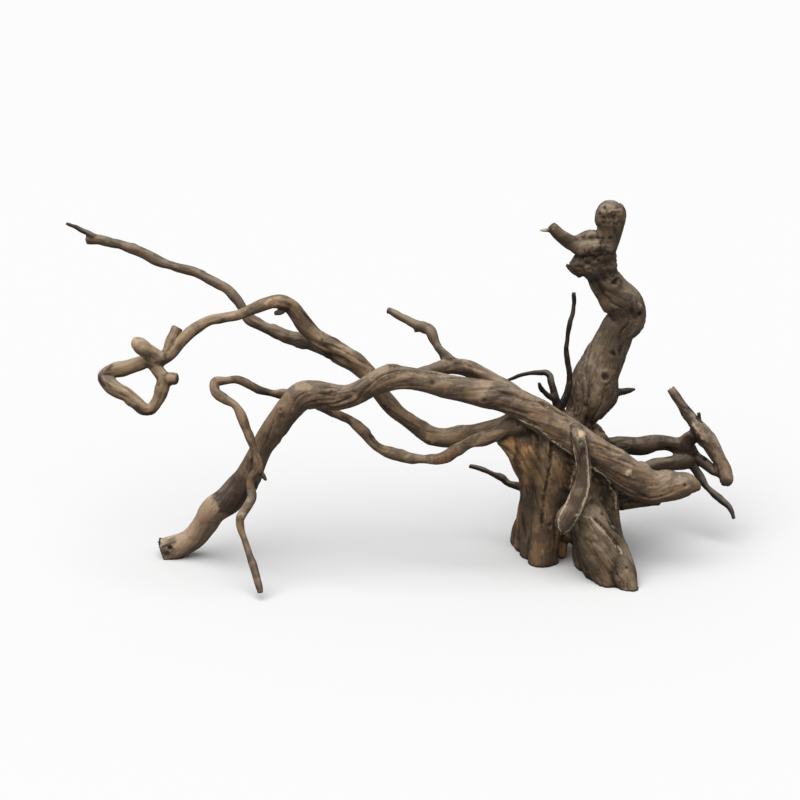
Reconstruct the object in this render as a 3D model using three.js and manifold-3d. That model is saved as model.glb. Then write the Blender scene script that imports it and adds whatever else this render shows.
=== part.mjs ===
// A spiderwood root: one weathered piece of wood. A squat trunk stands on sawn feet, a long arm comes
// down to the ground as another leg, a knotted stump rises behind, and thinner roots fork, cross and curl.
// Millimetres, +Z up, +X to the right, +Y to the back. The origin is on the ground, under the middle.

import * as THREE from "three";
import { mergeVertices } from "three/addons/utils/BufferGeometryUtils.js";
import Module from "manifold-3d";

// Driving dimensions
const SPAN = 584; // mm, from the tip of the long runner to the tip of the right-hand rootlet
const EYE_DISTANCE = 2000; // mm, from the eye that sees the routes to the middle of its picture
const EYE_ELEVATION = THREE.MathUtils.degToRad(20); // how far that eye looks down
const MIDDLE_HEIGHT = 150; // mm, the picture's middle above the ground

// Each route is a list of stations [column, row, back, half]. Column and row say where the middle of the
// wood is in an 800 by 800 picture of the root, and back how many mm it lies behind the picture's upright
// middle plane. Half is half the wood's thickness there, in picture units.
const PICTURE_MIDDLE = 400;
const PICTURE_SPAN = 697; // columns that the span takes at the eye's distance; the tips lie behind it
const UNIT = SPAN / PICTURE_SPAN; // mm for one column or row, at the eye's distance

// Surface
const STEP = 0.82; // distance between two rings, as a share of the wood's thickness
const SHORTEST_STEP = 6.5; // mm
const GNARL = 0.07; // how far the section swells and shrinks, as a share of its half thickness
const TURN_LENGTH = 95; // mm along the wood in which the grain winds once round it
const SWELL_LENGTH = 34; // mm from one swelling of the wood to the next
const ROUND_END = [[0.42, 0.86], [0.72, 0.55]]; // rings past a worn end: advance and size, in halves
const GROUND_CUT = 60; // mm, depth of the block that saws the feet level

const WOOD = new THREE.MeshStandardMaterial({
  name: "root_wood",
  color: 0x6a5848,
  roughness: 0.85,
  metalness: 0,
});

const FORWARD = new THREE.Vector3(0, Math.cos(EYE_ELEVATION), -Math.sin(EYE_ELEVATION));
const UPWARD = new THREE.Vector3(0, Math.sin(EYE_ELEVATION), Math.cos(EYE_ELEVATION));
const RIGHT = new THREE.Vector3(1, 0, 0);
const EYE = new THREE.Vector3(0, 0, MIDDLE_HEIGHT).addScaledVector(FORWARD, -EYE_DISTANCE);

// The trunk: a short body with roots that spread to the ground. They run on below it, and are sawn off.
const TRUNK = [
  {
    // body, under the arm and between the feet
    route: [
      [557, 426, 10, 24], [560, 448, 14, 36], [566, 480, 16, 40], [570, 508, 16, 34],
      [572, 524, 14, 25],
    ],
    sides: 14,
    deep: 0.86,
    start: "worn",
    end: "worn",
  },
  {
    // left foot, back lobe, which comes down from the roots on the left
    route: [
      [498, 432, 2, 9], [512, 443, 6, 12], [525, 462, 12, 14.5], [533, 482, 22, 13.5],
      [533.5, 505, 38, 12.5], [526, 530, 53, 12.8], [513, 556, 67, 12.5],
    ],
    sides: 10,
    start: "worn",
  },
  {
    // left foot, between its back and middle lobes
    route: [[535, 486, 20, 15], [534.5, 510, 34, 15], [526, 536, 46, 14.5], [519, 562, 55, 13.5]],
    sides: 10,
    start: "worn",
  },
  {
    // left foot, middle lobe
    route: [
      [526, 424, 0, 12], [535, 454, 4, 19], [541, 485, 12, 19], [536, 515, 26, 17],
      [529, 545, 36, 15.5], [524, 572, 42, 14],
    ],
    sides: 12,
    start: "worn",
  },
  {
    // left foot, between its middle and front lobes
    route: [[546, 486, 6, 17], [542, 515, 12, 16.5], [536, 545, 18, 15.5], [532, 576, 23, 14]],
    sides: 10,
    start: "worn",
  },
  {
    // left foot, front lobe
    route: [
      [548, 430, 0, 13], [552, 464, -3, 19], [551, 500, -2, 17], [546.5, 528, 0, 14.5],
      [542, 552, 3, 13.5], [539, 582, 5, 12],
    ],
    sides: 12,
    start: "worn",
  },
  {
    // right foot, back lobe
    route: [
      [588, 488, 0, 18], [586, 515, -6, 15], [588, 540, -2, 15], [589, 562, -6, 14.5],
      [591, 588, -8, 14],
    ],
    sides: 10,
    start: "worn",
  },
  {
    // right foot, between its back lobe and the bulging one
    route: [[587, 508, -6, 14], [591, 530, -12, 16], [596, 554, -18, 16.5], [602, 592, -26, 15.5]],
    sides: 10,
    start: "worn",
  },
  {
    // right foot, the bulging front lobe
    route: [
      [588, 508, -8, 14], [593, 528, -20, 18], [602, 550, -28, 20], [609, 573, -32, 19],
      [614, 604, -39, 17],
    ],
    sides: 12,
    start: "worn",
  },
  {
    // right foot, its toe
    route: [
      [603, 522, -8, 12], [613, 547, -25, 14], [622, 571, -39, 13], [630, 593, -51, 10],
      [634, 616, -58, 8],
    ],
    sides: 10,
    start: "worn",
  },
  {
    // right foot, the ridge down its outer side
    route: [
      [592, 462, 8, 24], [600, 494, 10, 18], [608, 524, 2, 14], [616, 548, -12, 12.5],
      [624, 573, -28, 10.5], [630, 602, -44, 8],
    ],
    sides: 10,
    start: "worn",
  },
  {
    // back foot, hidden behind the other two
    route: [[586, 442, 32, 22], [590, 475, 52, 22], [587, 510, 70, 18], [583, 552, 84, 15]],
    sides: 12,
    start: "worn",
  },
  {
    // stub between the feet, which stops short of the ground
    route: [[564, 512, 14, 11], [562.5, 535, 12, 8.5], [561, 554, 12, 6]],
    sides: 8,
    end: "worn",
  },
];

// The main limb: from the tapered root on the right, over the front of the trunk, along the arm, and down
// to the arm's end on the ground.
const MAIN_LIMB = {
  route: [
    [699, 487, 10, 5], [689, 485, 8, 12], [673, 486, 4, 15.2], [651, 486, -2, 16.5],
    [631, 477.5, -8, 17.5], [612, 462, -12, 16.5], [592, 449, -14, 16], [570, 436, -14, 16],
    [548, 422, -13, 15.5], [528, 409, -13, 15.5], [506, 399, -14, 15], [485, 394.5, -16, 13.5],
    [462, 390, -19, 12], [440, 386.5, -22, 12], [420, 381, -24, 11.4], [400, 378, -25, 12.8],
    [384, 378.5, -25, 13.8], [368, 384.5, -24, 12.6], [352, 393.5, -22, 12.6], [335, 396.5, -20, 13.8],
    [317, 394.5, -19, 13.6], [302, 397.2, -18, 14.6], [291.3, 409.5, -16, 13.2],
    [277.3, 427.3, -13, 12.1], [263.2, 446, -10, 11.6], [254, 463, -7, 12], [243.5, 481.5, -3, 14.2],
    [229, 497.5, 2, 14.6], [213, 510.5, 6, 12.8], [205, 525, 10, 12], [195, 538, 14, 12.4],
    [179, 546.5, 17, 12.8], [163.5, 551, 18, 12],
  ],
  sides: 14,
  start: "worn",
  end: "sawn",
};

// The upright stump behind the limb, with its knots and its broken side branch.
const STUMP = [
  {
    route: [
      [577, 442, 20, 15], [579, 421, 24, 15.5], [588.5, 403, 28, 22.5], [594.5, 388, 30, 23.5],
      [598.5, 373, 32, 21], [606, 358, 34, 18.4], [612.5, 343, 35, 16.8], [618, 330, 36, 17],
      [626, 318, 36, 18], [624, 304, 36, 17.4], [612.5, 291.5, 35, 15.6], [604, 279.5, 34, 15.2],
      [601, 266, 33, 13.5], [602.5, 252, 32, 12], [608.5, 240, 32, 11.6], [611.5, 229, 31, 12.4],
      [611.5, 221, 31, 15], [611.5, 214.5, 31, 15],
    ],
    sides: 14,
    end: "worn",
  },
  {
    // bulge at its foot
    route: [[594, 388, 30, 17], [606.5, 398, 28, 13.5]],
    sides: 10,
    end: "worn",
  },
  {
    // side knot
    route: [[625, 310, 35, 15], [631, 310, 34, 13.5], [634, 311, 34, 11.5]],
    sides: 8,
    end: "worn",
  },
  {
    // burl
    route: [[606, 262, 32, 14], [588, 262, 28, 15.8], [576.5, 266, 25, 10]],
    sides: 10,
    end: "worn",
  },
  {
    // broken side branch
    route: [
      [606, 250, 31, 10], [590, 244, 28, 12.5], [574.5, 244, 24, 9], [562, 236.5, 20, 6.6],
      [551.5, 226.5, 17, 4.8],
    ],
    sides: 10,
    end: "sawn",
  },
  {
    // splinter
    route: [[564, 234, 20, 3], [553, 231, 16, 2.6], [540, 230, 13, 1.2]],
    sides: 6,
    end: "sawn",
  },
  {
    // burl's twig
    route: [[580, 274, 24, 4], [573, 271, 21, 2.4], [566.5, 264.5, 18, 1.7]],
    sides: 6,
    end: "sawn",
  },
  {
    route: [[608, 394, 36, 6], [620, 392, 42, 3.4], [629, 390.5, 46, 2.6], [635, 389.5, 50, 1.5]],
    sides: 6,
    end: "sawn",
  },
];

// The roots to the left: two that leave the trunk below the arm and pass behind it, and one above it.
const LEFT_ROOTS = [
  {
    // back root, which rises behind the arm and arches over to the loop
    route: [
      [522, 418, 0, 13], [506, 423.5, 5, 9.5], [490, 428.5, 9, 8], [473, 433.5, 12, 8],
      [454, 437, 14, 8.8], [436, 436, 15, 8.8], [419.5, 428.5, 15, 8.4], [405, 418.5, 14, 8.2],
      [393, 407.5, 13, 8.2], [382.5, 394.5, 12, 8.6], [371.5, 379, 12, 10], [358, 366, 13, 11],
      [345, 355.5, 15, 11], [332.5, 347.5, 17, 10.2], [320, 340, 18, 9.2], [308.5, 329.5, 17, 8],
      [299.5, 317.5, 14, 7.4], [292, 308.2, 11, 7], [283, 302.8, 8, 6.9], [273, 301.2, 6, 6.6],
      [261, 303.8, 4, 6.3], [250, 309, 2, 6], [240, 314, 0, 5.8], [224, 318.4, -3, 5.8],
      [209, 322.5, -6, 5.7], [194, 330.5, -10, 5.8], [182, 341, -14, 6], [171, 352, -18, 6.4],
      [160, 359, -21, 7.2], [149, 362, -22, 6.5],
    ],
    sides: 10,
    start: "worn",
    end: "worn",
  },
  {
    // long runner, which forks from the back root and crosses behind its arch
    route: [
      [332, 347, 18, 9], [318, 343.5, 25, 8], [304, 340, 31, 7.4], [291, 337, 36, 6.8],
      [278, 332.5, 40, 6.2], [262, 326.5, 44, 5.6], [249.5, 318.8, 48, 5.7], [242.3, 309.3, 52, 5.6],
      [235.3, 298.2, 57, 5.6], [227, 289, 62, 5.4], [217, 283, 67, 5.2], [206.5, 278, 72, 5.2],
      [193, 271.5, 78, 5.1], [178, 267.5, 84, 5], [163, 262.8, 90, 5.2], [147, 255.3, 97, 5.3],
      [131, 248.7, 104, 5.3], [116, 243.8, 111, 5.2], [101, 240, 118, 5.2], [87, 238.3, 124, 4.8],
    ],
    sides: 8,
    end: "sawn",
  },
  {
    route: [
      [94, 236.5, 121, 3.4], [84, 231.5, 125, 2.7], [76, 227.5, 129, 2.3], [66.5, 223.6, 133, 1.4],
    ],
    sides: 6,
    end: "sawn",
  },
  {
    // front root, which passes under and behind the arm and comes forward again as a thin dangling root
    route: [
      [522, 424, -4, 11], [508, 428, -5, 8], [496, 434.5, -4, 8.6], [483, 439, -3, 7.2],
      [470, 442, -2, 6.2], [458, 448, -2, 6], [447, 456, -1, 5.8], [437, 460, 0, 5.5],
      [424, 460, 2, 5.4], [408, 457, 4, 5.5], [392, 453, 5, 5.7], [380, 449, 6, 5.6],
      [371.2, 441, 6, 5.3], [362.8, 431, 7, 5.2], [353, 422.2, 8, 5.2], [341.5, 416, 8, 5.2],
      [328.5, 409, 9, 5], [315, 403, 10, 4.8], [300, 397, 10, 4.7], [286, 394, 9, 4.6],
      [273, 393, 6, 4.6], [261, 390.4, 2, 4.6], [250, 385.6, -3, 4.6], [238, 380.4, -8, 4.6],
      [226, 380.5, -14, 4.6], [215, 381.8, -19, 4.6], [215, 391.3, -23, 4.6], [224.6, 398.9, -26, 4.5],
      [235.7, 405.5, -29, 4.5], [241.7, 416, -31, 4.4], [245.5, 427, -33, 4.3], [249.5, 438, -35, 4.3],
      [253, 449, -36, 4.3], [257.5, 460, -36, 4.4], [258.5, 469.5, -36, 4.6], [252.5, 477.5, -36, 4.3],
      [251, 487, -36, 4.3], [252, 497, -38, 4.6], [246, 506, -41, 4.4], [240.5, 516, -44, 4.2],
      [240.5, 527, -47, 4.1], [245, 540, -51, 4], [250, 556, -58, 3.9], [255.5, 574, -65, 3.7],
      [260.2, 593, -74, 3.3],
    ],
    sides: 8,
    start: "worn",
    end: "sawn",
  },
  {
    // root above the arm, grown together with it at both ends
    route: [
      [524, 404, 2, 12], [507, 392.5, 8, 11], [492, 383, 11, 9.8], [480, 375, 11, 9],
      [467, 368, 10, 8.9], [454, 366, 8, 8.9], [442, 367.5, 3, 8.7], [430, 371.5, -6, 8.2],
      [418, 376, -16, 7.4],
    ],
    sides: 10,
    start: "worn",
    end: "worn",
  },
  {
    // antenna on that root
    route: [
      [452, 364, 8, 6.5], [446, 357, 9, 5.4], [439, 348.5, 12, 4.6], [434, 339.5, 17, 4.4],
      [430.5, 331, 22, 5], [424, 327.8, 26, 5.2], [415, 324.5, 32, 4.6], [404, 318.5, 39, 4.1],
      [394, 313, 46, 3.9], [388, 310, 50, 3.6],
    ],
    sides: 8,
    end: "sawn",
  },
  { route: [[421, 329, 28, 3.4], [414.5, 330.5, 29, 1.8]], sides: 6, end: "sawn" }, // antenna's spur
  {
    // arch's spur
    route: [[286, 305, 8, 4.5], [280.5, 311.5, 8, 3], [274.5, 313.5, 8, 1.6]],
    sides: 6,
    end: "sawn",
  },
  {
    // dangling root's spur
    route: [[258, 470, -36, 3.8], [262.5, 475, -35, 2.4], [266, 480, -34, 1.3]],
    sides: 6,
    end: "sawn",
  },
];

// The end of the arch: a root that curled round and grew into itself, with stubs at the join.
const LOOP = [
  {
    closed: true,
    route: [
      [150, 361.5, -22, 6.6], [157.5, 370, -25, 6.6], [163.5, 380, -29, 6.8], [161.5, 391, -33, 6.8],
      [157.5, 401, -36, 6.9], [151, 409.5, -38, 6.9], [143, 409, -38, 6.9], [136, 402, -36, 6.6],
      [127.5, 394.7, -33, 6.6], [117.8, 389.6, -29, 7.2], [108.8, 383, -25, 7.8],
      [103.8, 375.8, -21, 7.2], [112, 370.8, -19, 7.6], [125, 368.2, -19, 7], [138, 364.4, -20, 6.7],
    ],
    sides: 10,
  },
  {
    // worn stub past the join
    route: [[160, 358, -22, 7], [149.5, 352, -26, 8.5], [141, 346, -30, 8.6], [136, 343, -32, 6.4]],
    sides: 10,
    end: "worn",
  },
  {
    route: [[165, 353, -18, 5.5], [169.3, 344, -14, 5.5], [173.8, 335, -10, 5.3], [177, 327.8, -7, 5]],
    sides: 8,
    end: "sawn",
  },
  { route: [[163, 381, -29, 6.5], [170, 379, -30, 6], [176.5, 379, -31, 4.8]], sides: 8, end: "sawn" },
];

// The roots on the trunk: a blunt one hanging down its front, and thin ones round the back of the limb.
const TRUNK_ROOTS = [
  {
    route: [
      [576, 428, -20, 6.5], [580, 442, -29, 7.4], [583, 458, -33, 7.6], [583.5, 473, -34, 7.7],
      [580, 490, -35, 8.2], [573.5, 507, -36, 8.8], [566.5, 520, -37, 9], [563.5, 527, -37, 8],
    ],
    sides: 10,
    end: "worn",
  },
  {
    route: [[547.5, 436, -15, 2.2], [548, 446, -18, 1.7], [548.7, 456, -18, 1.1]],
    sides: 6,
    end: "sawn",
  },
  {
    // upright twig beside the stump
    route: [
      [557, 430, 8, 6], [560, 414, 12, 4.6], [564.5, 400, 13, 3.7], [568, 388, 15, 3.4],
      [569.5, 375, 17, 3.3], [568, 362, 19, 3.1], [566, 350, 21, 2.9], [567, 338, 23, 2.7],
      [569.5, 326, 25, 2.7], [573, 315, 28, 2.6], [573.6, 304, 31, 2.4], [573.5, 292, 34, 1.9],
    ],
    sides: 6,
    end: "sawn",
  },
  {
    // bent twig that arches over to the left
    route: [
      [562, 430, 4, 7], [559.5, 416, 7, 5], [556.5, 404, 9, 4], [554.5, 394, 11, 3.5],
      [552, 383, 14, 3.1], [548, 374, 18, 2.8], [539, 372.5, 22, 2.4], [530, 373, 26, 2.2],
      [521, 375.5, 30, 2], [512, 379, 34, 1.9], [504, 382, 37, 1.6],
    ],
    sides: 6,
    end: "sawn",
  },
  {
    route: [[556, 400, 9, 3], [547, 394.5, 6, 2.4], [541.5, 389, 3, 2.1], [539, 383.5, 0, 1.5]],
    sides: 6,
    end: "sawn",
  },
  {
    // dark twig at the back of the left foot
    route: [
      [531, 490, 34, 5], [518, 486.5, 40, 3.6], [508, 483, 46, 3.4], [502, 478, 49, 3.8],
      [493.5, 474, 53, 2.8], [484, 470, 58, 2.7], [469.5, 466.3, 64, 2],
    ],
    sides: 6,
    end: "sawn",
  },
  {
    // root under the limb's right end
    route: [[600, 488, 18, 13], [620, 499, 18, 9.6], [641, 500.7, 16, 7.5], [657, 500, 12, 5.5]],
    sides: 8,
    start: "worn",
    end: "worn",
  },
];

// The roots to the right: two dark ones that meet in a knot, a broken stick across it, and rootlets.
const RIGHT_ROOTS = [
  {
    route: [
      [594, 448, 26, 11], [618, 445.5, 44, 9], [634, 446, 54, 8.5], [648, 445.5, 62, 8.3],
      [660, 444, 68, 7.6], [673, 445, 74, 8.2], [685, 450, 79, 10], [691, 456, 81, 8.5],
    ],
    sides: 10,
    end: "worn",
  },
  {
    route: [
      [618, 474, 12, 9], [640, 469.5, 32, 7.2], [656, 465.5, 49, 7], [672, 463, 63, 8.2],
      [686, 459.5, 77, 9.2],
    ],
    sides: 8,
  },
  { route: [[682, 450, 79, 8], [688.3, 440, 76, 8.4], [699, 432, 71, 7]], sides: 8 },
  {
    // broken stick
    route: [
      [670.5, 388.5, 92, 4.1], [676.5, 397.5, 89, 4.4], [684, 408.5, 84, 4.8], [692.5, 420, 78, 5.6],
      [700.5, 431, 72, 7.6], [708, 441, 68, 8.8], [713.5, 450, 65, 8], [718.5, 460, 62, 6.8],
      [723, 470, 60, 7], [725.4, 479, 59, 7.6],
    ],
    sides: 10,
    start: "sawn",
    end: "worn",
  },
  { route: [[703, 434, 70, 3], [700.5, 423, 73, 2.2], [698.5, 412.5, 76, 1.6]], sides: 6, end: "sawn" },
  {
    route: [
      [690, 455, 80, 6], [699, 459.5, 75, 5.2], [706.5, 464.5, 69, 5], [713, 469.5, 64, 4.8],
      [720, 473, 61, 4.8],
    ],
    sides: 8,
  },
  {
    // right-hand rootlet
    route: [
      [686, 457, 78, 6], [693, 466, 73, 4.4], [699.5, 476, 68, 3.8], [706.5, 486, 62, 3.4],
      [713.5, 493.5, 56, 3.4], [720.5, 499.5, 51, 3.6], [727.5, 505.5, 46, 3], [731.5, 511.5, 42, 2.4],
      [734, 518.8, 38, 1.6],
    ],
    sides: 6,
    end: "sawn",
  },
];

// A station's place in mm, and the mm that one picture unit spans there.
function placed([column, row, back]) {
  const sight = FORWARD.clone()
    .addScaledVector(RIGHT, ((column - PICTURE_MIDDLE) * UNIT) / EYE_DISTANCE)
    .addScaledVector(UPWARD, ((PICTURE_MIDDLE - row) * UNIT) / EYE_DISTANCE);
  const reach = (back - EYE.y) / sight.y;
  return { point: EYE.clone().addScaledVector(sight, reach), unit: (UNIT * reach) / EYE_DISTANCE };
}

// How far the wood's section swells at an angle round it and a distance along it: slow lobes that wind
// with the grain, and swellings that come and go.
function gnarled(angle, along, phase) {
  const wind = (2 * Math.PI * along) / TURN_LENGTH + phase;
  const swell = Math.sin((2 * Math.PI * along) / SWELL_LENGTH + 3 * phase);
  return 1 + GNARL * (0.6 * Math.sin(2 * angle + wind) + 0.5 * Math.sin(3 * angle - wind) + 0.4 * swell);
}

// One root as a closed geometry: rings of points along a smooth route, with a flat or a worn end. Each ring
// has as much area as the round wood that it stands for.
function rootGeometry({ route, sides, deep = 1, closed = false, start = "sunk", end = "sunk" }, index) {
  const places = route.map(placed);
  const line = new THREE.CatmullRomCurve3(places.map((p) => p.point), closed, "centripetal");
  const halves = new THREE.CatmullRomCurve3(
    route.map(([, , , half], i) => new THREE.Vector3(half * places[i].unit, 0, 0)), closed, "catmullrom");
  const length = line.getLength();
  const fullness = Math.sqrt((2 * Math.PI) / (sides * Math.sin((2 * Math.PI) / sides)));
  const mean = route.reduce((sum, [, , , half]) => sum + half * UNIT, 0) / route.length;
  const steps = Math.max(2, Math.round(length / Math.max(SHORTEST_STEP, 2 * STEP * mean)));

  const rings = [];
  const addRing = (u, advance, size) => {
    const t = line.getUtoTmapping(u);
    const along = line.getTangent(t);
    const side = new THREE.Vector3().crossVectors(along, FORWARD).normalize();
    const back = new THREE.Vector3().crossVectors(along, side);
    const half = halves.getPoint(t).x;
    const middle = line.getPoint(t).addScaledVector(along, advance * half);
    rings.push(Array.from({ length: sides }, (_, i) => {
      const angle = (2 * Math.PI * i) / sides;
      const reach = half * size * fullness * gnarled(angle, closed ? 0 : u * length, index);
      return middle.clone()
        .addScaledVector(side, reach * Math.cos(angle))
        .addScaledVector(back, reach * deep * Math.sin(angle));
    }));
  };
  if (start === "worn") [...ROUND_END].reverse().forEach(([advance, size]) => addRing(0, -advance, size));
  for (let i = 0; i < steps + (closed ? 0 : 1); i++) addRing(i / steps, 0, 1);
  if (end === "worn") ROUND_END.forEach(([advance, size]) => addRing(1, advance, size));

  const points = rings.flat();
  const faces = [];
  const joins = closed ? rings.length : rings.length - 1;
  for (let r = 0; r < joins; r++) {
    for (let i = 0; i < sides; i++) {
      const next = (i + 1) % sides;
      const here = r * sides;
      const there = ((r + 1) % rings.length) * sides;
      faces.push(here + i, here + next, there + i, here + next, there + next, there + i);
    }
  }
  if (!closed) {
    [rings[0], rings.at(-1)].forEach((ring, last) => {
      const first = last ? (rings.length - 1) * sides : 0;
      const sum = ring.reduce((total, point) => total.add(point), new THREE.Vector3());
      const centre = points.push(sum.divideScalar(sides)) - 1;
      for (let i = 0; i < sides; i++) {
        const next = (i + 1) % sides;
        faces.push(centre, first + (last ? i : next), first + (last ? next : i));
      }
    });
  }
  return new THREE.BufferGeometry().setFromPoints(points).setIndex(faces);
}

const wasm = await Module();
wasm.setup();

function solidOf(geometry) {
  geometry.deleteAttribute("normal");
  geometry.deleteAttribute("uv");
  const merged = mergeVertices(geometry);
  return new wasm.Manifold(new wasm.Mesh({
    numProp: 3,
    vertProperties: merged.attributes.position.array,
    triVerts: new Uint32Array(merged.index.array),
  }));
}

function geometryOf(solid) {
  const { vertProperties, triVerts } = solid.getMesh();
  const geometry = new THREE.BufferGeometry()
    .setAttribute("position", new THREE.BufferAttribute(vertProperties, 3))
    .setIndex(new THREE.BufferAttribute(triVerts, 1));
  geometry.computeVertexNormals();
  return geometry;
}

// The whole root: every limb grown into one solid, and its feet sawn level with the ground.
function rootSolid() {
  const limbs = [...TRUNK, MAIN_LIMB, ...STUMP, ...LEFT_ROOTS, ...LOOP, ...TRUNK_ROOTS, ...RIGHT_ROOTS];
  const grown = limbs
    .map((limb, index) => solidOf(rootGeometry(limb, index)))
    .reduce((whole, limb) => whole.add(limb));
  const below = new THREE.BoxGeometry(2 * SPAN, 2 * SPAN, GROUND_CUT).translate(0, 0, -GROUND_CUT / 2);
  return grown.subtract(solidOf(below));
}

const wood = new THREE.Mesh(geometryOf(rootSolid()), WOOD);
wood.name = "spiderwood_root";

const root = new THREE.Group();
root.add(wood);
const box = new THREE.Box3().setFromObject(wood);
const centre = box.getCenter(new THREE.Vector3());
wood.position.set(-centre.x, -centre.y, -box.min.z);

export default root;
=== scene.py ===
# A spiderwood root, as sold for tanks: one weathered, sand-blasted root with most of its bark gone. It
# stands on sawn feet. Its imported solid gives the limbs, and this script gives them their grain, wear
# and colour.

import math

import bpy
import numpy as np
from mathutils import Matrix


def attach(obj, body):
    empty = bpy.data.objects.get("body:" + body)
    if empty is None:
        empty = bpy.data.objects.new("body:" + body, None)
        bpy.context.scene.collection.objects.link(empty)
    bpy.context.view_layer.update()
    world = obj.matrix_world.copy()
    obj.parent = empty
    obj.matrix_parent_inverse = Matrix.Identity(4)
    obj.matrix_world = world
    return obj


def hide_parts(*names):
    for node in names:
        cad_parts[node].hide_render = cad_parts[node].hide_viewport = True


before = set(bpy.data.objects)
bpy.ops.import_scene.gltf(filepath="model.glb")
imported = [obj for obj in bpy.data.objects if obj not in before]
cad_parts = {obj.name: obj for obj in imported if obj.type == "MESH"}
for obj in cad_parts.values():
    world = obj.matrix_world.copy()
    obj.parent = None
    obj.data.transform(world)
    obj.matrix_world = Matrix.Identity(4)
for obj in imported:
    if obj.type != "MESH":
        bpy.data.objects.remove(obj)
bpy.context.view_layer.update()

# Eye
# The root is looked at from the front and a little above, by an eye two metres away. The limbs' routes
# below are stations in that eye's picture, so the eye comes first. Its picture is 800 by 800.
PICTURE = 800
UNIT = 0.584 / 697  # m for one column or row of the picture, at the eye's distance
EYE_DISTANCE = 2.0
EYE_ELEVATION = math.radians(20)
MIDDLE_HEIGHT = 0.150  # the picture's middle above the ground
ORIGIN = np.array([0.00013, 0.02896, 0.0])  # the part's origin, from under the picture's middle
SENSOR = 36.0  # mm

RIGHT = np.array([1.0, 0.0, 0.0])
FORWARD = np.array([0.0, math.cos(EYE_ELEVATION), -math.sin(EYE_ELEVATION)])
UPWARD = np.array([0.0, math.sin(EYE_ELEVATION), math.cos(EYE_ELEVATION)])
EYE = np.array([0.0, 0.0, MIDDLE_HEIGHT]) - FORWARD * EYE_DISTANCE - ORIGIN

bpy.ops.object.select_all(action="DESELECT")
bpy.ops.object.camera_add(location=EYE, rotation=(math.pi / 2 - EYE_ELEVATION, 0, 0))
camera = bpy.context.object
camera.data.sensor_width = SENSOR
camera.data.lens = SENSOR * EYE_DISTANCE / (PICTURE * UNIT)
bpy.context.scene.camera = camera


def sight(column, row):
    """The direction in which the eye sees a place of its picture, one unit long along its axis."""
    across = (column - PICTURE / 2) * UNIT / EYE_DISTANCE
    up = (PICTURE / 2 - row) * UNIT / EYE_DISTANCE
    return FORWARD + RIGHT * across + UPWARD * up


def station(column, row, back, half):
    """A station's x, y, z and half thickness in m. Back is in mm behind the middle upright plane."""
    ray = sight(column, row)
    reach = (back / 1000 - EYE[1] - ORIGIN[1]) / ray[1]
    return np.append(EYE + ray * reach, half * UNIT * reach / EYE_DISTANCE)


# Trunk
# The squat body of the root, where all the limbs meet. It spreads into feet that were sawn off level.
# Its wood is bare and brown, and orange where it rotted hollow under the roots on the left.
SAMPLE_GAP = 0.0025  # m between two points of a limb's middle line
ROUNDNESS = 0.8  # how far a worn end reaches past its last station, as a share of its half thickness
CROOK = 0.13  # how far a limb turns aside, as a share of its half thickness
CROOK_LIMIT = 0.0009
WAVE = 2.3  # how long its turns are, and the small ones on them, as shares of its half thickness
RIPPLE = 0.97
MARGIN = 0.012  # m round a limb in which points are measured against it
AT_ONCE = 6000  # points measured together


def wood_colour(red, green, blue):
    """A colour of the wood, from what it looks like on a screen to the light that it sends back."""
    return ((np.array([red, green, blue]) / 255 + 0.055) / 1.055) ** 2.4


def smooth_line(stations, closed):
    """Points on a smooth curve through stations, as close together as SAMPLE_GAP."""
    if closed:
        before, after = stations[-1:], stations[:2]
    else:
        before, after = 2 * stations[:1] - stations[1:2], 2 * stations[-1:] - stations[-2:-1]
    knots = np.vstack([before, stations, after])
    gaps = np.sqrt(np.linalg.norm(np.diff(knots[:, :3], axis=0), axis=1))
    pieces = []
    for i in range(1, len(knots) - 2):
        p0, p1, p2, p3 = knots[i - 1:i + 3]
        g0, g1, g2 = gaps[i - 1:i + 2]
        leave = g1 * ((p1 - p0) / g0 - (p2 - p0) / (g0 + g1)) + p2 - p1
        arrive = g1 * ((p3 - p2) / g2 - (p3 - p1) / (g1 + g2)) + p2 - p1
        count = max(2, math.ceil(np.linalg.norm((p2 - p1)[:3]) / SAMPLE_GAP))
        t = np.arange(count)[:, None] / count
        bend = -3 * p1 + 3 * p2 - 2 * leave - arrive
        turn = 2 * p1 - 2 * p2 + leave + arrive
        pieces.append(p1 + t * leave + t ** 2 * bend + t ** 3 * turn)
    if not closed:
        pieces.append(stations[-1:])
    return np.vstack(pieces)


limbs = []


def crook(line, seed):
    """Small turns to both sides, which keep a limb from looking drawn. They start past the joint."""
    length = np.append(0, np.cumsum(np.linalg.norm(np.diff(line[:, :3], axis=0), axis=1)))
    half = line[:, 3].mean()
    size = np.minimum(CROOK * half, CROOK_LIMIT) * np.clip(length / (4 * half) - 1, 0, 1)
    sway = []
    for axis in range(3):
        wave = np.sin(length / (WAVE * half) + 2.1 * seed + 1.7 * axis)
        ripple = np.sin(length / (RIPPLE * half) + 1.3 * seed + 2.9 * axis)
        sway.append(size * (wave + 0.35 * ripple * wave))
    return np.column_stack(sway)


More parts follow.
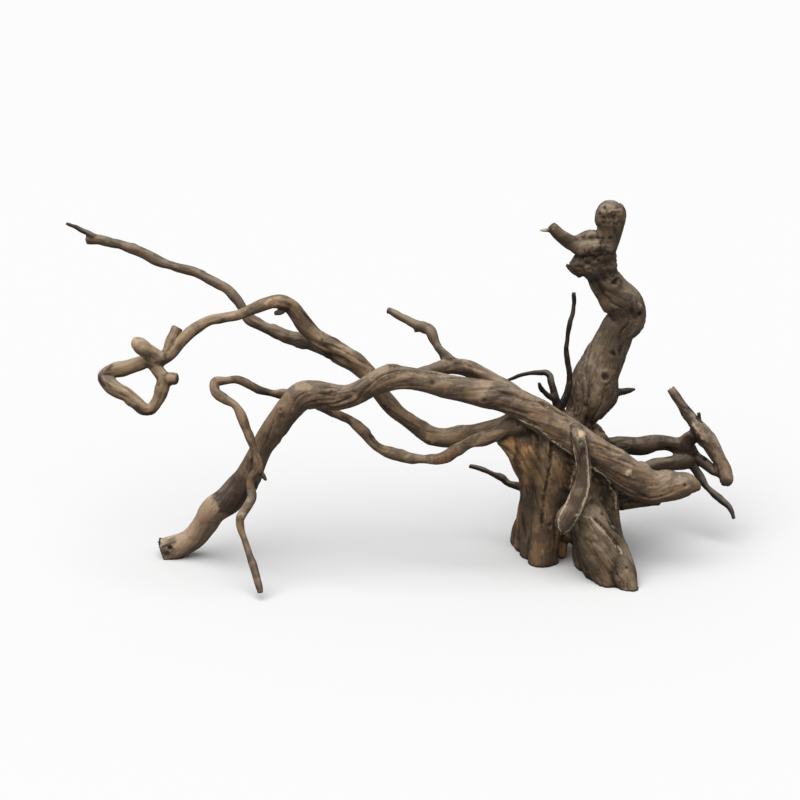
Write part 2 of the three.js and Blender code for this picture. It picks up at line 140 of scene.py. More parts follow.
class Limb:
    """One limb: its middle line, its thickness, the frame of its grain, and its colour.

    Deep is its depth over its width. Bark and wear say how much of each it shows, from 0 to 1.
    """

    def __init__(
        self, colour, route, deep=1.0, closed=False, start="worn", end="worn", bark=0.35, wear=0.5
    ):
        self.colour = colour
        self.deep = deep
        self.bark = bark
        self.wear = wear
        line = smooth_line(np.array([station(*place) for place in route]), closed)
        self.ends = []
        if not closed:
            line[:, :3] += crook(line, len(limbs))
            self.ends = [(0, -1, start), (len(line) - 1, 1, end)]
        self.middle = line[:, :3]
        self.half = line[:, 3]
        if closed:
            steps = np.roll(self.middle, -1, axis=0) - np.roll(self.middle, 1, axis=0)
        else:
            steps = np.gradient(self.middle, axis=0)
        lengths = np.linalg.norm(np.diff(self.middle, axis=0), axis=1)
        self.along = np.append(0, np.cumsum(lengths))
        self.tangent = steps / np.linalg.norm(steps, axis=1, keepdims=True)
        side = np.cross(self.tangent, FORWARD)
        self.side = side / np.linalg.norm(side, axis=1, keepdims=True)
        self.back = np.cross(self.tangent, self.side)
        self.taper = np.gradient(self.half) / np.gradient(self.along)
        margin = self.half.max() + MARGIN
        self.low = self.middle.min(axis=0) - margin
        self.high = self.middle.max(axis=0) + margin

    def measure(self, points):
        """For each point: gap to the limb's surface, way out, half thickness, grain and sawn face."""
        nearest = np.empty(len(points), dtype=int)
        square = (self.middle ** 2).sum(axis=1)
        for i in range(0, len(points), AT_ONCE):
            nearest[i:i + AT_ONCE] = (square - 2 * points[i:i + AT_ONCE] @ self.middle.T).argmin(axis=1)
        offset = points - self.middle[nearest]
        tangent = self.tangent[nearest]
        past = (offset * tangent).sum(axis=1)
        side = (offset * self.side[nearest]).sum(axis=1)
        back = (offset * self.back[nearest]).sum(axis=1)
        half = self.half[nearest] + self.taper[nearest] * np.clip(past, -SAMPLE_GAP, SAMPLE_GAP)
        reach = np.hypot(side, back / self.deep)
        gap = reach - half
        way = offset - past[:, None] * tangent
        cut = np.zeros(len(points))
        for index, sign, finish in self.ends:
            beyond = (nearest == index) & (sign * past > 0)
            if finish == "worn":
                gap = np.where(beyond, np.hypot(reach, past / ROUNDNESS) - half, gap)
                way = np.where(beyond[:, None], offset, way)
            else:
                flat = beyond & (sign * past > gap)
                cut = np.maximum(cut, flat)
                gap = np.where(flat, sign * past, gap)
                way = np.where(flat[:, None], sign * tangent, way)
        way /= np.linalg.norm(way, axis=1, keepdims=True) + 1e-12
        grain = np.column_stack([side, back, self.along[nearest] + past])
        return gap, way, half, grain, cut


def grow(colour, route, **shape):
    """Adds a limb to the root."""
    limbs.append(Limb(colour, route, **shape))


TRUNK_BROWN = wood_colour(120, 96, 70)
HOLLOW_ORANGE = wood_colour(140, 105, 66)
FOOT_BROWN = wood_colour(98, 81, 61)

grow(TRUNK_BROWN, [
    (557, 426, 10, 24), (560, 448, 14, 36), (566, 480, 16, 40), (570, 508, 16, 34),
    (572, 524, 14, 25),
], deep=0.86)
grow(HOLLOW_ORANGE, [
    (498, 432, 2, 9), (512, 443, 6, 12), (525, 462, 12, 14.5), (533, 482, 22, 13.5),
    (533.5, 505, 38, 12.5), (526, 530, 53, 12.8), (513, 556, 67, 12.5),
], bark=0.1)
grow(FOOT_BROWN, [
    (535, 486, 20, 15), (534.5, 510, 34, 15), (526, 536, 46, 14.5), (519, 562, 55, 13.5),
])
grow(TRUNK_BROWN, [
    (526, 424, 0, 12), (535, 454, 4, 19), (541, 485, 12, 19), (536, 515, 26, 17),
    (529, 545, 36, 15.5), (524, 572, 42, 14),
])
grow(FOOT_BROWN, [
    (546, 486, 6, 17), (542, 515, 12, 16.5), (536, 545, 18, 15.5), (532, 576, 23, 14),
])
grow(TRUNK_BROWN, [
    (548, 430, 0, 13), (552, 464, -3, 19), (551, 500, -2, 17), (546.5, 528, 0, 14.5),
    (542, 552, 3, 13.5), (539, 582, 5, 12),
])
grow(FOOT_BROWN, [
    (588, 488, 0, 18), (586, 515, -6, 15), (588, 540, -2, 15), (589, 562, -6, 14.5),
    (591, 588, -8, 14),
])
grow(FOOT_BROWN, [
    (587, 508, -6, 14), (591, 530, -12, 16), (596, 554, -18, 16.5), (602, 592, -26, 15.5),
])
grow(FOOT_BROWN, [
    (588, 508, -8, 14), (593, 528, -20, 18), (602, 550, -28, 20), (609, 573, -32, 19),
    (614, 604, -39, 17),
])
grow(FOOT_BROWN, [
    (603, 522, -8, 12), (613, 547, -25, 14), (622, 571, -39, 13), (630, 593, -51, 10),
    (634, 616, -58, 8),
])
grow(FOOT_BROWN, [
    (592, 462, 8, 24), (600, 494, 10, 18), (608, 524, 2, 14), (616, 548, -12, 12.5),
    (624, 573, -28, 10.5), (630, 602, -44, 8),
])
grow(TRUNK_BROWN, [
    (586, 442, 32, 22), (590, 475, 52, 22), (587, 510, 70, 18), (583, 552, 84, 15),
])
grow(wood_colour(150, 116, 74), [
    (564, 512, 14, 11), (562.5, 535, 12, 8.5), (561, 554, 12, 6),
], bark=0.0)

# Main limb
# The thickest limb. It starts as a tapered root on the right, lies across the front of the trunk, and runs
# on as the long arm that bends down to the ground, where it was cut. It is worn grey, and its top is
# painted paler as light falling from above.
ARM_GREY = wood_colour(114, 93, 72)

grow(ARM_GREY, [
    (699, 487, 10, 5), (689, 485, 8, 12), (673, 486, 4, 15.2), (651, 486, -2, 16.5),
    (631, 477.5, -8, 17.5), (612, 462, -12, 16.5), (592, 449, -14, 16), (570, 436, -14, 16),
    (548, 422, -13, 15.5), (528, 409, -13, 15.5), (506, 399, -14, 15), (485, 394.5, -16, 13.5),
    (462, 390, -19, 12), (440, 386.5, -22, 12), (420, 381, -24, 11.4), (400, 378, -25, 12.8),
    (384, 378.5, -25, 13.8), (368, 384.5, -24, 12.6), (352, 393.5, -22, 12.6),
    (335, 396.5, -20, 13.8), (317, 394.5, -19, 13.6), (302, 397.2, -18, 14.6),
    (291.3, 409.5, -16, 13.2), (277.3, 427.3, -13, 12.1), (263.2, 446, -10, 11.6),
    (254, 463, -7, 12), (243.5, 481.5, -3, 14.2), (229, 497.5, 2, 14.6), (213, 510.5, 6, 12.8),
    (205, 525, 10, 12), (195, 538, 14, 12.4), (179, 546.5, 17, 12.8), (163.5, 551, 18, 12),
], end="sawn", wear=0.8)
ARM = len(limbs) - 1

# Stump
# The upright limb behind the trunk, knotted and dark, with a knob at its top. A side branch broke off it
# and left splinters, and a burl bulges below that.
STUMP_BROWN = wood_colour(98, 82, 65)

grow(STUMP_BROWN, [
    (577, 442, 20, 15), (579, 421, 24, 15.5), (588.5, 403, 28, 22.5), (594.5, 388, 30, 23.5),
    (598.5, 373, 32, 21), (606, 358, 34, 18.4), (612.5, 343, 35, 16.8), (618, 330, 36, 17),
    (626, 318, 36, 18), (624, 304, 36, 17.4), (612.5, 291.5, 35, 15.6), (604, 279.5, 34, 15.2),
    (601, 266, 33, 13.5), (602.5, 252, 32, 12), (608.5, 240, 32, 11.6), (611.5, 229, 31, 12.4),
    (611.5, 221, 31, 15), (611.5, 214.5, 31, 15),
])
grow(STUMP_BROWN, [
    (594, 388, 30, 17), (606.5, 398, 28, 13.5),
])
grow(STUMP_BROWN, [
    (625, 310, 35, 15), (631, 310, 34, 13.5), (634, 311, 34, 11.5),
])
grow(STUMP_BROWN, [
    (606, 262, 32, 14), (588, 262, 28, 15.8), (576.5, 266, 25, 10),
])
grow(STUMP_BROWN, [
    (606, 250, 31, 10), (590, 244, 28, 12.5), (574.5, 244, 24, 9), (562, 236.5, 20, 6.6),
    (551.5, 226.5, 17, 4.8),
], end="sawn")
grow(wood_colour(190, 172, 150), [
    (564, 234, 20, 3), (553, 231, 16, 2.6), (540, 230, 13, 1.2),
], end="sawn", bark=0.0)
grow(STUMP_BROWN, [
    (580, 274, 24, 4), (573, 271, 21, 2.4), (566.5, 264.5, 18, 1.7),
], end="sawn")
grow(wood_colour(28, 23, 19), [
    (608, 394, 36, 6), (620, 392, 42, 3.4), (629, 390.5, 46, 2.6), (635, 389.5, 50, 1.5),
], end="sawn", wear=0.05)

# Roots on the left
# Two roots leave the trunk under the arm. One rises behind it and arches over, and forks into the long
# runner. The other passes behind the arm and dangles before it. A third lies on the arm with an antenna.
ROOT_TAN = wood_colour(124, 102, 78)
RUNNER_GREY = wood_colour(86, 70, 54)

grow(ROOT_TAN, [
    (522, 418, 0, 13), (506, 423.5, 5, 9.5), (490, 428.5, 9, 8), (473, 433.5, 12, 8),
    (454, 437, 14, 8.8), (436, 436, 15, 8.8), (419.5, 428.5, 15, 8.4), (405, 418.5, 14, 8.2),
    (393, 407.5, 13, 8.2), (382.5, 394.5, 12, 8.6), (371.5, 379, 12, 10), (358, 366, 13, 11),
    (345, 355.5, 15, 11), (332.5, 347.5, 17, 10.2), (320, 340, 18, 9.2), (308.5, 329.5, 17, 8),
    (299.5, 317.5, 14, 7.4), (292, 308.2, 11, 7), (283, 302.8, 8, 6.9), (273, 301.2, 6, 6.6),
    (261, 303.8, 4, 6.3), (250, 309, 2, 6), (240, 314, 0, 5.8), (224, 318.4, -3, 5.8),
    (209, 322.5, -6, 5.7), (194, 330.5, -10, 5.8), (182, 341, -14, 6), (171, 352, -18, 6.4),
    (160, 359, -21, 7.2), (149, 362, -22, 6.5),
], wear=0.7)
grow(RUNNER_GREY, [
    (332, 347, 18, 9), (318, 343.5, 25, 8), (304, 340, 31, 7.4), (291, 337, 36, 6.8),
    (278, 332.5, 40, 6.2), (262, 326.5, 44, 5.6), (249.5, 318.8, 48, 5.7), (242.3, 309.3, 52, 5.6),
    (235.3, 298.2, 57, 5.6), (227, 289, 62, 5.4), (217, 283, 67, 5.2), (206.5, 278, 72, 5.2),
    (193, 271.5, 78, 5.1), (178, 267.5, 84, 5), (163, 262.8, 90, 5.2), (147, 255.3, 97, 5.3),
    (131, 248.7, 104, 5.3), (116, 243.8, 111, 5.2), (101, 240, 118, 5.2), (87, 238.3, 124, 4.8),
], end="sawn")
grow(wood_colour(34, 29, 24), [
    (94, 236.5, 121, 3.4), (84, 231.5, 125, 2.7), (76, 227.5, 129, 2.3), (66.5, 223.6, 133, 1.4),
], end="sawn", wear=0.05)
grow(ROOT_TAN, [
    (522, 424, -4, 11), (508, 428, -5, 8), (496, 434.5, -4, 8.6), (483, 439, -3, 7.2),
    (470, 442, -2, 6.2), (458, 448, -2, 6), (447, 456, -1, 5.8), (437, 460, 0, 5.5),
    (424, 460, 2, 5.4), (408, 457, 4, 5.5), (392, 453, 5, 5.7), (380, 449, 6, 5.6),
    (371.2, 441, 6, 5.3), (362.8, 431, 7, 5.2), (353, 422.2, 8, 5.2), (341.5, 416, 8, 5.2),
    (328.5, 409, 9, 5), (315, 403, 10, 4.8), (300, 397, 10, 4.7), (286, 394, 9, 4.6),
    (273, 393, 6, 4.6), (261, 390.4, 2, 4.6), (250, 385.6, -3, 4.6), (238, 380.4, -8, 4.6),
    (226, 380.5, -14, 4.6), (215, 381.8, -19, 4.6), (215, 391.3, -23, 4.6),
    (224.6, 398.9, -26, 4.5), (235.7, 405.5, -29, 4.5), (241.7, 416, -31, 4.4),
    (245.5, 427, -33, 4.3), (249.5, 438, -35, 4.3), (253, 449, -36, 4.3), (257.5, 460, -36, 4.4),
    (258.5, 469.5, -36, 4.6), (252.5, 477.5, -36, 4.3), (251, 487, -36, 4.3), (252, 497, -38, 4.6),
    (246, 506, -41, 4.4), (240.5, 516, -44, 4.2), (240.5, 527, -47, 4.1), (245, 540, -51, 4),
    (250, 556, -58, 3.9), (255.5, 574, -65, 3.7), (260.2, 593, -74, 3.3),
], end="sawn")
grow(ARM_GREY, [
    (524, 404, 2, 12), (507, 392.5, 8, 11), (492, 383, 11, 9.8), (480, 375, 11, 9),
    (467, 368, 10, 8.9), (454, 366, 8, 8.9), (442, 367.5, 3, 8.7), (430, 371.5, -6, 8.2),
    (418, 376, -16, 7.4),
])
grow(RUNNER_GREY, [
    (452, 364, 8, 6.5), (446, 357, 9, 5.4), (439, 348.5, 12, 4.6), (434, 339.5, 17, 4.4),
    (430.5, 331, 22, 5), (424, 327.8, 26, 5.2), (415, 324.5, 32, 4.6), (404, 318.5, 39, 4.1),
    (394, 313, 46, 3.9), (388, 310, 50, 3.6),
], end="sawn")
grow(RUNNER_GREY, [
    (421, 329, 28, 3.4), (414.5, 330.5, 29, 1.8),
], end="sawn")
grow(ROOT_TAN, [
    (286, 305, 8, 4.5), (280.5, 311.5, 8, 3), (274.5, 313.5, 8, 1.6),
], end="sawn")
grow(ROOT_TAN, [
    (258, 470, -36, 3.8), (262.5, 475, -35, 2.4), (266, 480, -34, 1.3),
], end="sawn")

# Loop
# The tip of the arched root curled round and grew into itself. Its wood is smooth and tan, and the worn
# stub past the join is the palest of all.
LOOP_TAN = wood_colour(120, 98, 75)

grow(LOOP_TAN, [
    (150, 361.5, -22, 6.6), (157.5, 370, -25, 6.6), (163.5, 380, -29, 6.8), (161.5, 391, -33, 6.8),
    (157.5, 401, -36, 6.9), (151, 409.5, -38, 6.9), (143, 409, -38, 6.9), (136, 402, -36, 6.6),
    (127.5, 394.7, -33, 6.6), (117.8, 389.6, -29, 7.2), (108.8, 383, -25, 7.8),
    (103.8, 375.8, -21, 7.2), (112, 370.8, -19, 7.6), (125, 368.2, -19, 7), (138, 364.4, -20, 6.7),
], closed=True, bark=0.15)
grow(wood_colour(150, 128, 102), [
    (160, 358, -22, 7), (149.5, 352, -26, 8.5), (141, 346, -30, 8.6), (136, 343, -32, 6.4),
], bark=0.0)
grow(ROOT_TAN, [
    (165, 353, -18, 5.5), (169.3, 344, -14, 5.5), (173.8, 335, -10, 5.3), (177, 327.8, -7, 5),
], end="sawn")
grow(LOOP_TAN, [
    (163, 381, -29, 6.5), (170, 379, -30, 6), (176.5, 379, -31, 4.8),
], end="sawn")

# Roots on the trunk
# A blunt root hangs down the trunk's front like a finger. Thin twigs stand behind the main limb, dry and
# almost black, and one more sticks out of the left foot.
TWIG_BLACK = wood_colour(26, 21, 17)

grow(wood_colour(94, 79, 63), [
    (576, 428, -20, 6.5), (580, 442, -29, 7.4), (583, 458, -33, 7.6), (583.5, 473, -34, 7.7),
    (580, 490, -35, 8.2), (573.5, 507, -36, 8.8), (566.5, 520, -37, 9), (563.5, 527, -37, 8),
])
grow(TRUNK_BROWN, [
    (547.5, 436, -15, 2.2), (548, 446, -18, 1.7), (548.7, 456, -18, 1.1),
], end="sawn")
grow(TWIG_BLACK, [
    (557, 430, 8, 6), (560, 414, 12, 4.6), (564.5, 400, 13, 3.7), (568, 388, 15, 3.4),
    (569.5, 375, 17, 3.3), (568, 362, 19, 3.1), (566, 350, 21, 2.9), (567, 338, 23, 2.7),
    (569.5, 326, 25, 2.7), (573, 315, 28, 2.6), (573.6, 304, 31, 2.4), (573.5, 292, 34, 1.9),
], end="sawn", wear=0.05)
grow(TWIG_BLACK, [
    (562, 430, 4, 7), (559.5, 416, 7, 5), (556.5, 404, 9, 4), (554.5, 394, 11, 3.5),
    (552, 383, 14, 3.1), (548, 374, 18, 2.8), (539, 372.5, 22, 2.4), (530, 373, 26, 2.2),
    (521, 375.5, 30, 2), (512, 379, 34, 1.9), (504, 382, 37, 1.6),
], end="sawn", wear=0.05)
grow(TWIG_BLACK, [
    (556, 400, 9, 3), (547, 394.5, 6, 2.4), (541.5, 389, 3, 2.1), (539, 383.5, 0, 1.5),
], end="sawn", wear=0.05)
grow(wood_colour(22, 18, 15), [
    (531, 490, 34, 5), (518, 486.5, 40, 3.6), (508, 483, 46, 3.4), (502, 478, 49, 3.8),
    (493.5, 474, 53, 2.8), (484, 470, 58, 2.7), (469.5, 466.3, 64, 2),
], end="sawn", wear=0.05)
grow(wood_colour(80, 64, 52), [
    (600, 488, 18, 13), (620, 499, 18, 9.6), (641, 500.7, 16, 7.5), (657, 500, 12, 5.5),
])

# Roots on the right
# Two dark roots leave the back of the trunk and meet in a knot. A broken stick has grown across the knot,
# and a black rootlet runs down from it.
DARK_ROOT = wood_colour(64, 51, 39)
STICK_GREY = wood_colour(118, 100, 80)

grow(DARK_ROOT, [
    (594, 448, 26, 11), (618, 445.5, 44, 9), (634, 446, 54, 8.5), (648, 445.5, 62, 8.3),
    (660, 444, 68, 7.6), (673, 445, 74, 8.2), (685, 450, 79, 10), (691, 456, 81, 8.5),
], wear=0.25)
grow(DARK_ROOT, [
    (618, 474, 12, 9), (640, 469.5, 32, 7.2), (656, 465.5, 49, 7), (672, 463, 63, 8.2),
    (686, 459.5, 77, 9.2),
], wear=0.25)
grow(DARK_ROOT, [
    (682, 450, 79, 8), (688.3, 440, 76, 8.4), (699, 432, 71, 7),
], wear=0.25)
grow(STICK_GREY, [
    (670.5, 388.5, 92, 4.1), (676.5, 397.5, 89, 4.4), (684, 408.5, 84, 4.8), (692.5, 420, 78, 5.6),
    (700.5, 431, 72, 7.6), (708, 441, 68, 8.8), (713.5, 450, 65, 8), (718.5, 460, 62, 6.8),
    (723, 470, 60, 7), (725.4, 479, 59, 7.6),
], start="sawn")
grow(TWIG_BLACK, [
    (703, 434, 70, 3), (700.5, 423, 73, 2.2), (698.5, 412.5, 76, 1.6),
], end="sawn", wear=0.05)
grow(DARK_ROOT, [
    (690, 455, 80, 6), (699, 459.5, 75, 5.2), (706.5, 464.5, 69, 5), (713, 469.5, 64, 4.8),
    (720, 473, 61, 4.8),
], wear=0.25)
grow(wood_colour(22, 18, 15), [
    (686, 457, 78, 6), (693, 466, 73, 4.4), (699.5, 476, 68, 3.8), (706.5, 486, 62, 3.4),
    (713.5, 493.5, 56, 3.4), (720.5, 499.5, 51, 3.6), (727.5, 505.5, 46, 3),
    (731.5, 511.5, 42, 2.4), (734, 518.8, 38, 1.6),
], end="sawn", wear=0.05)

# Wood
# The whole root is one piece of wood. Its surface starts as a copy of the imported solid. It is drawn on to
# the limbs' round shapes, with soft crotches where they join, and then carved along the grain.
VOXEL = 0.0009
TRIANGLES = 196_000
CROTCH = 0.45  # how wide a join is rounded, as a share of the thinner limb's half thickness
ON_GROUND = 0.0004
FACES_DOWN = -0.7  # a normal's height on the soles of the feet, at most
DRAWS = 3  # times that the copy is drawn on to the limbs
DRAW_LIMIT = 0.003  # m that a point moves each time, at most
TWIST = 0.33  # m of limb in which the grain winds round it once
ROW_OF_LIMBS = 0.37  # m between two limbs' places in the grain, so that no two show the same pattern

bpy.ops.object.select_all(action="DESELECT")
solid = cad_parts["spiderwood_root"]
solid.select_set(True)
bpy.context.view_layer.objects.active = solid
bpy.ops.object.duplicate()
wood = bpy.context.object
wood.name = "weathered_root"
wood.data.name = "weathered_root"
wood.data.materials.clear()
bpy.ops.object.mode_set(mode="EDIT")
bpy.ops.mesh.select_all(action="SELECT")
bpy.ops.mesh.remove_doubles(threshold=1e-6)
bpy.ops.object.mode_set(mode="OBJECT")
remesh = wood.modifiers.new("fine skin", "REMESH")
remesh.mode = "VOXEL"
remesh.voxel_size = VOXEL
bpy.ops.object.modifier_apply(modifier=remesh.name)


def vertex_values(name):
    """The wood's vertex places or normals."""
    values = np.empty(len(wood.data.vertices) * 3, dtype=np.float32)
    wood.data.vertices.foreach_get(name, values)
    return values.reshape(-1, 3).astype(float)


def move_vertices(places):
    """Puts the wood's vertices at new places."""
    wood.data.vertices.foreach_set("co", places.astype(np.float32).ravel())
    wood.data.update()


def read_limbs(points):
    """Each point's own limb and the next one, and how the two share it."""
    count = len(points)
    gap = np.full((2, count), 1.0)
    way = np.zeros((2, count, 3))
    half = np.full((2, count), 0.001)
    grain = np.zeros((2, count, 3))
    owner = np.zeros((2, count), dtype=int)
    cut = np.zeros((2, count))
    for index, limb in enumerate(limbs):
        rows = np.flatnonzero(((points > limb.low) & (points < limb.high)).all(axis=1))
        found = limb.measure(points[rows])
        nearer = found[0] < gap[0, rows]
        next_to = ~nearer & (found[0] < gap[1, rows])
        for values in (gap, way, half, grain, cut, owner):
            values[1, rows[nearer]] = values[0, rows[nearer]]
        for rank, chosen in ((0, nearer), (1, next_to)):
            owner[rank, rows[chosen]] = index
            for values, new in zip((gap, way, half, grain, cut), found):
                values[rank, rows[chosen]] = new[chosen]
    width = CROTCH * half.min(axis=0)
    share = np.clip(0.5 + 0.5 * (gap[1] - gap[0]) / width, 0, 1)
    joined = gap[0] * share + gap[1] * (1 - share) - width * share * (1 - share)
    out = way[0] * share[:, None] + way[1] * (1 - share)[:, None]
    out /= np.linalg.norm(out, axis=1, keepdims=True) + 1e-12
    return {
        "gap": joined, "way": out, "half": half, "grain": grain,
        "owner": owner, "cut": cut[0], "share": share,
    }


points = vertex_values("co")
sole = (points[:, 2] < ON_GROUND) & (vertex_values("normal")[:, 2] < FACES_DOWN)
for _ in range(DRAWS):
    reading = read_limbs(points)
    step = np.clip(reading["gap"], -DRAW_LIMIT, DRAW_LIMIT)
    points = np.where(sole[:, None], points, points - step[:, None] * reading["way"])
    points[:, 2] = np.maximum(points[:, 2], 0)
move_vertices(points)


def noise(places, seed):
    """Smooth noise from -1 to 1, the same on every run."""
    cell = np.floor(places).astype(np.int64)
    part = places - cell
    ease = part ** 3 * (part * (part * 6 - 15) + 10)
    total = np.zeros(len(places))
    for corner in np.ndindex(2, 2, 2):
        key = ((cell + corner) * (374761393, 668265263, 2147483647)).sum(axis=1) + seed * 1274126177
        key = (key ^ (key >> 13)) * 1274126177
        value = ((key ^ (key >> 16)) & 0xFFFF) / 32767.5 - 1
        total += value * np.where(corner, ease, 1 - ease).prod(axis=1)
    return total


def ramp(value, low, high):
    """0 below low, 1 above high, and a smooth rise between them."""
    t = np.clip((value - low) / (high - low), 0, 1)
    return t * t * (3 - 2 * t)


def wound(grain, owner):
    """Places across and along the grain, which winds round the limb."""
    side, back, along = grain.T
    turn = along * 2 * math.pi / TWIST
    across = side * np.cos(turn) - back * np.sin(turn)
    deep = side * np.sin(turn) + back * np.cos(turn)
    return np.column_stack([across, deep, along + owner * ROW_OF_LIMBS])


# Knots are where twigs once grew. They are drawn along each thicker limb, on any side of it.
KNOT_GAP = (0.025, 0.065)  # m
KNOT_SPREAD = (0.35, 0.65)  # as shares of the limb's half thickness
KNOT_REACH = 0.02  # m along the limb that a knot can change
KNOT_LIMB = 0.0032  # m, the least half thickness of a limb with knots
KNOT_END = 0.012  # m before a limb's end that has none
knot_draw = np.random.default_rng(7)
knots = []
for index, limb in enumerate(limbs):
    place = knot_draw.uniform(*KNOT_GAP) / 2
    while place < limb.along[-1] - KNOT_END and limb.half.mean() > KNOT_LIMB:
        round_at = knot_draw.uniform(-math.pi, math.pi)
        knots.append((index, place, round_at, knot_draw.uniform(*KNOT_SPREAD)))
        place += knot_draw.uniform(*KNOT_GAP)
typical_half = np.array([limb.half.mean() for limb in limbs])

# The grain is made of long patches. Their sizes are across, through and along it, in m, and those of the
# swellings are in half thicknesses of the limb.
DRIFT_PATCH = (0.011, 0.011, 0.026)
FISSURE_PATCH = (0.0046, 0.0046, 0.052)
HAIRLINE_PATCH = (0.0022, 0.0022, 0.027)
BREAK_PATCH = (0.012, 0.012, 0.045)
SWELLING = (2.3, 2.3, 3.2)
SMALL_SWELLING = (1.1, 1.1, 1.7)
DRIFT = 0.0016  # m that the grain wanders aside
FISSURE_DEPTH = 0.0015
HAIRLINE_DEPTH = 0.0005


def grain_relief(grain, half, owner):
    """How far the wood stands out along one limb's grain, and how deep in a fissure or knot it lies."""
    place = wound(grain, owner)
    size = typical_half[owner][:, None]
    bent = noise(place / DRIFT_PATCH, 1)
    place = place + bent[:, None] * (DRIFT, DRIFT, 0)
    swell = noise(place / (size * SWELLING), 5) + 0.45 * noise(place / (size * SMALL_SWELLING), 6)
    swell = swell * (0.25 - 0.09 * ramp(size[:, 0], 0.004, 0.012))
    coarse = noise(place / FISSURE_PATCH, 2)
    fine = noise(place / HAIRLINE_PATCH, 3)
    deep_line = 1 - ramp(np.abs(coarse), 0.0, 0.24)
    thin_line = 1 - ramp(np.abs(fine), 0.0, 0.22)
    broken = ramp(noise(place / BREAK_PATCH, 4), -0.45, 0.3)
    height = half * (swell + coarse * 0.05 + fine * 0.02)
    height = height - deep_line * broken * np.minimum(half * 0.11, FISSURE_DEPTH)
    height = height - thin_line * np.minimum(half * 0.04, HAIRLINE_DEPTH)
    hollow = np.maximum(deep_line * broken, 0.5 * thin_line)
    side, back, along = grain.T
    angle = np.arctan2(back, side)
    for index, at, round_at, spread in knots:
        near = np.flatnonzero((owner == index) & (np.abs(along - at) < KNOT_REACH))
        turned = np.abs((angle[near] - round_at + math.pi) % (2 * math.pi) - math.pi)
        reach = np.hypot((along[near] - at) * 0.8, turned * half[near]) / (spread * half[near])
        height[near] += half[near] * (0.26 * np.exp(-reach ** 2) - 0.22 * np.exp(-(reach / 0.4) ** 2))
        hollow[near] = np.maximum(hollow[near], np.exp(-(reach / 0.42) ** 2))
    return height, hollow


# Marks that can be told apart from the front, by their places in the eye's picture: lumps and dips, pits,
# rough burrs, creases between two folds of wood, crests, which are thin ridges worn pale and painted with a
# highlight, and stains, among which two pale spots are painted highlights.
LUMPS = [  # column, row, radius and height in mm
    (638, 308, 9, 2.6), (615, 282, 8, 1.4), (603, 300, 7, -1.6), (606, 377, 9, 1.2), (584, 433, 6, 1.6),
    (630, 473, 5, 0.8), (578, 251, 9, 3.0), (587, 252, 11, 4.5), (597, 253, 11, 4.5), (607, 254, 9, 3.0),
]
PITS = [  # column, row, radius and depth in mm
    (615, 282, 3.4, 2.8), (606, 377, 3.6, 2.8), (613, 354, 2.6, 1.8), (640, 314, 2.4, 1.8),
    (604, 208, 2.0, 1.4), (614, 217, 3.0, 2.2), (599, 214, 1.6, 1.2), (598, 237, 1.8, 1.4),
    (602, 243, 2.0, 1.4), (609, 239, 1.8, 1.2), (615, 251, 1.6, 1.0),
    (169, 549, 2.4, 2.4), (167, 557, 1.2, 0.8),
    (612, 573, 1.2, 0.8), (626, 568, 1.4, 1.0), (620, 582, 1.1, 0.8), (629, 580, 1.0, 0.7),
    (573, 527.5, 1.8, 1.6), (602.5, 512.5, 2.2, 1.2), (705, 458, 2.4, 1.8),
]
BURRS = [  # column, row, radius and roughness in mm
    (611, 216, 15, 1.3), (636, 308, 10, 1.1), (586, 262, 13, 1.0), (580, 238, 8, 0.8), (172, 548, 9, 0.5),
    (715, 470, 9, 0.9), (690, 440, 9, 0.9),
]
CREASES = [  # width and depth in mm, then columns and rows
    (2.2, 1.8, [(595, 519), (604, 527), (612, 537), (621, 551)]),
    (1.6, 1.2, [(600, 397), (610, 384), (619, 372)]),
    (2.0, 1.6, [(552, 445), (549, 470), (543, 500), (541, 525)]),
    (1.5, 1.0, [(585, 250), (592, 256), (600, 262)]),
]
CRESTS = [  # width and height in mm, then columns and rows
    (1.3, 0.7, [(522, 421), (539, 430.5), (552, 441.5), (572, 456)]),
    (1.3, 0.7, [(592, 467), (605, 478), (616, 493), (617, 509)]),
    (1.2, 0.6, [(573, 448), (575.5, 469), (568, 498), (558, 518), (557, 528), (562, 535), (570, 531)]),
    (1.4, 0.7, [(570, 531), (577.5, 520), (585, 502), (589, 487), (589, 467), (588, 452), (585, 438)]),
    (1.6, 0.6, [(577.5, 515), (590, 517), (603, 530), (614, 544), (623, 553)]),
    (1.8, 0.5, [(692, 424), (698, 432), (703, 439)]),
]
STAINS_AND_HIGHLIGHTS = [  # column, row, radius in mm, colour
    (509, 445, 12, (170, 130, 86)), (516, 460, 13, (170, 130, 86)), (522, 477, 10, (156, 117, 76)),
    (524, 452, 10, (166, 126, 83)), (528, 467, 9, (156, 118, 78)),
    # The pale spots at (584, 433), on a knot, and at (272, 303), on the arch's crest, are painted
    # highlights.
    (560, 546, 8, (170, 132, 86)), (584, 433, 5, (180, 154, 122)), (104, 379, 9, (44, 34, 26)),
    (272, 303, 7, (176, 138, 102)), (446, 455, 14, (124, 88, 62)), (630, 473, 3, (190, 168, 140)),
    (518, 525, 12, (130, 97, 66)), (544, 545, 10, (118, 90, 63)), (690, 440, 9, (52, 41, 32)),
    (679, 396, 9, (58, 48, 39)), (686, 409, 9, (58, 48, 39)), (692, 421, 8, (62, 51, 41)),
    (726, 483, 6, (64, 52, 42)), (165, 549, 10, (58, 46, 36)), (171, 540, 7, (62, 50, 40)),
    (259, 588, 9, (60, 51, 45)), (255, 572, 9, (76, 66, 58)), (250, 556, 9, (92, 80, 71)),
    (240, 512, 7, (166, 149, 131)), (249, 497, 7, (166, 149, 131)), (205, 520, 10, (146, 114, 93)),
    (197, 508, 8, (126, 116, 88)), (230, 396, 8, (84, 74, 60)), (265, 389, 10, (64, 58, 46)),
]
# A pit's radius in mm over these gives the widths, in m, at which its dent and its raised rim fade out.
DENT_FADE = 700
RIM_FADE = 450


